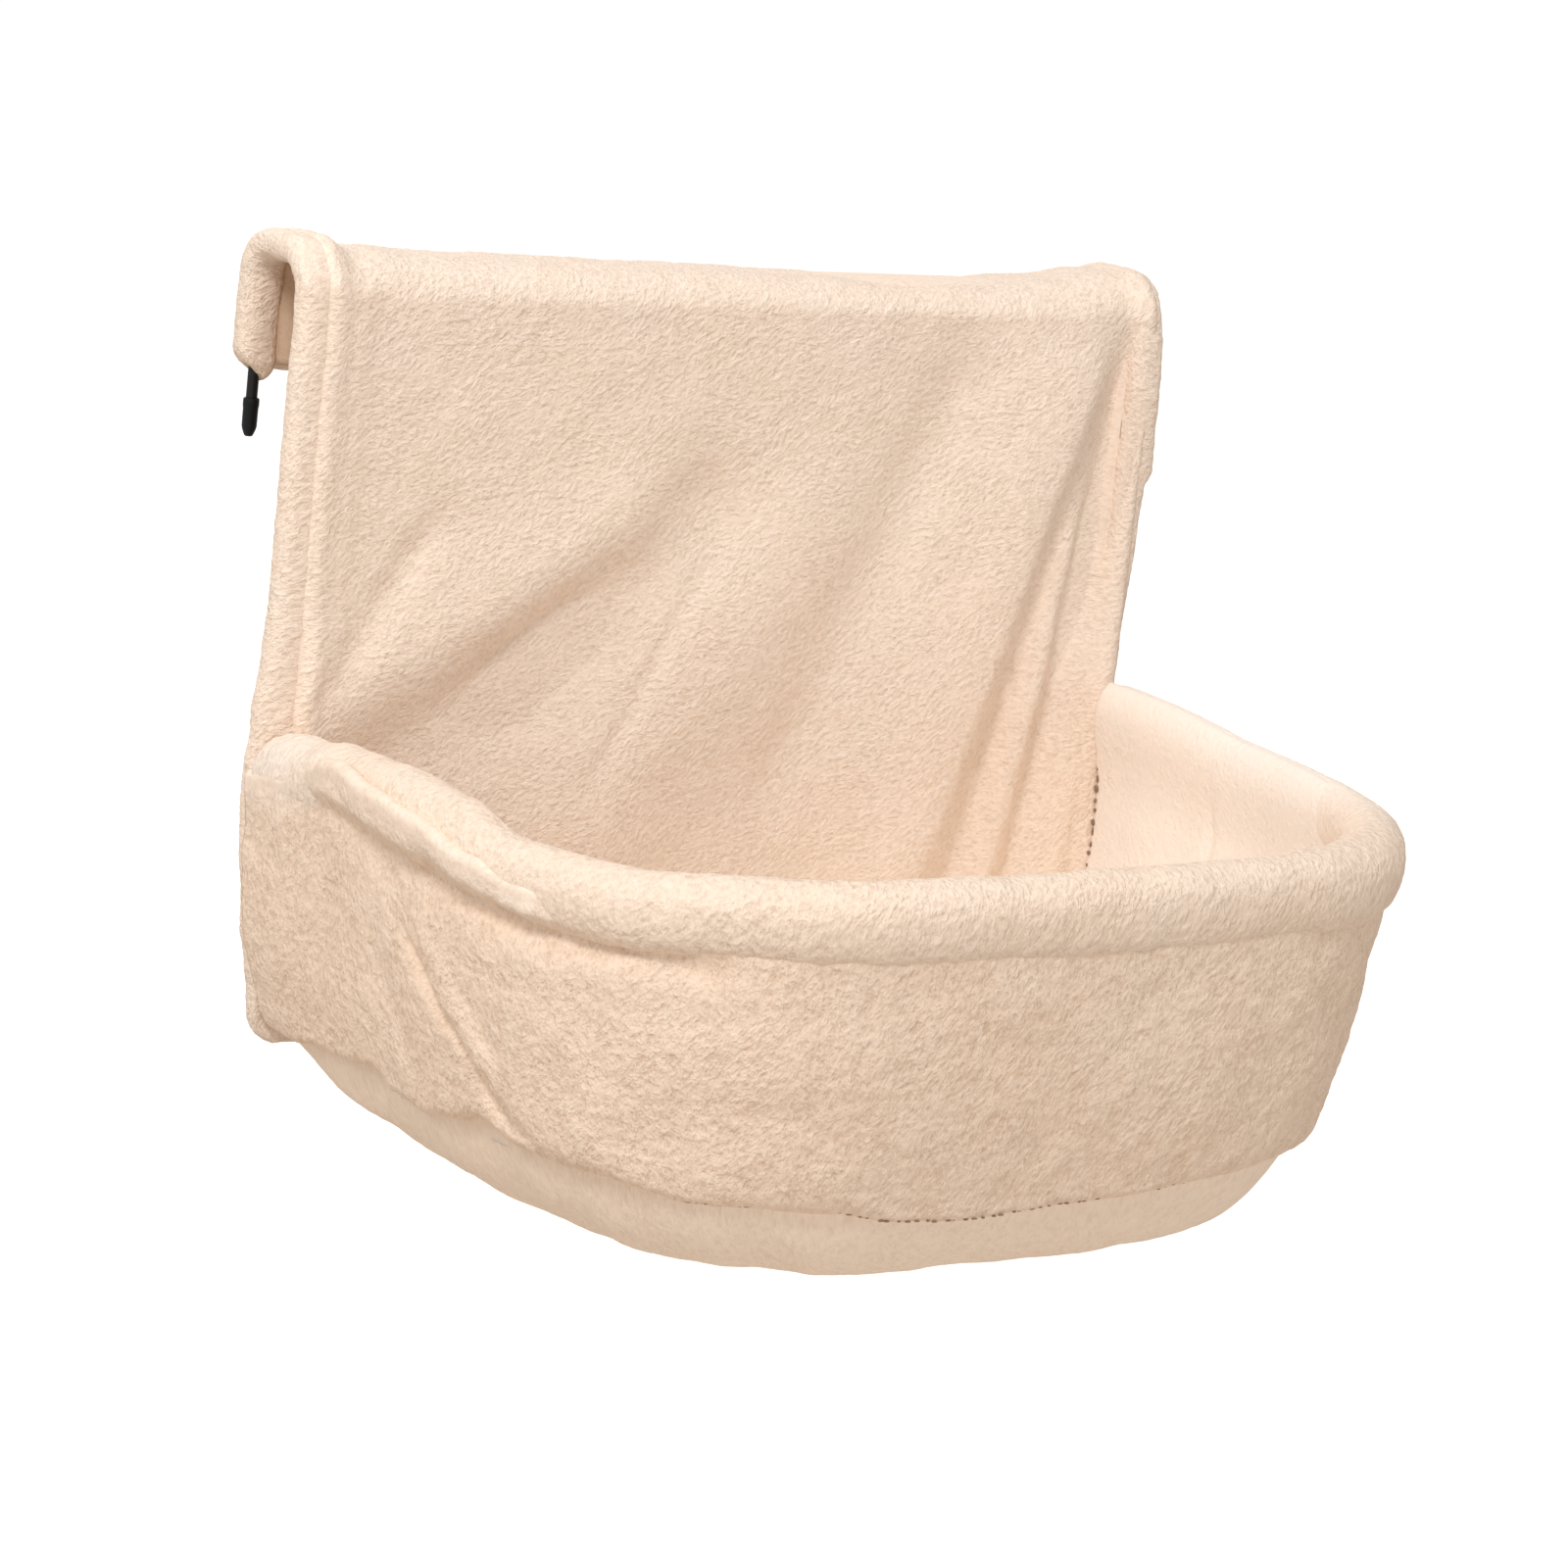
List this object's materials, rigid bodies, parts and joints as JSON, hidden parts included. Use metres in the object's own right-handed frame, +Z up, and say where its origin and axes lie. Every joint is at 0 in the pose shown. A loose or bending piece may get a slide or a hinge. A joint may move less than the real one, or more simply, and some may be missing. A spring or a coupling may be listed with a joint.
{
  "type": "radiator cat bed",
  "caption": "Plush pet bed that hooks over a radiator: a hanging back panel on bent wire hooks carries a D-shaped basket with a rolled rim and a zipped, sagging base.",
  "frame": {"origin": "middle of the flat underside of the saddle, where the bed hangs on the radiator's top edge", "axes": "+X to the right seen from the room, +Y from the room towards the radiator, +Z up"},
  "size_m": [0.4576, 0.3683, 0.3828],
  "materials": {
    "plush": "cream short-pile plush with clumped nap",
    "lining": "lighter cream fleece, shorter pile",
    "base_cloth": "smooth brushed cloth",
    "wadding": "white polyester wadding",
    "foam": "soft polyether foam",
    "wire": "black powder-coated steel wire",
    "plated": "zinc plated",
    "cap": "black moulded plastic",
    "zip_tape": "woven beige zip tape with a nylon chain"
  },
  "bodies": {
    "bed": {"hook_rod_left": "wire", "hook_rod_right": "wire", "hook_cap_left": "cap", "hook_cap_right": "cap", "foot_ferrule": "plated", "hoop_socket_left": "wire", "hoop_socket_right": "wire", "rim_hoop": "wire", "rod_channel_left": "plush", "rod_channel_right": "plush", "panel_plush": "plush", "panel_lining": "lining", "rim_wadding": "wadding", "rim_sleeve": "plush", "wall_plush": "plush", "wall_foam": "foam", "wall_lining": "lining", "base_cloth": "base_cloth", "floor_foam": "foam", "floor_lining": "lining", "zip_tape_rear": "zip_tape", "zip_tape_front": "zip_tape", "zip_chain_rear": "zip_tape", "zip_chain_front": "zip_tape", "zip_stop_left": "plated", "zip_stop_right": "plated"},
    "slider": {"zip_slider": "plated"},
    "pull": {"zip_pull": "plated"}
  },
  "joints": [
    {"name": "zip_slide", "type": "slide", "parent": "bed", "child": "slider", "axis": [-1, 0, 0], "range_m": [0, 0.319]},
    {"name": "zip_pull_hinge", "type": "hinge", "parent": "slider", "child": "pull", "pos_m": [0.1595, -0.0452, -0.3368], "axis": [0, 1, 0], "range_deg": [-85, 85]}
  ]
}
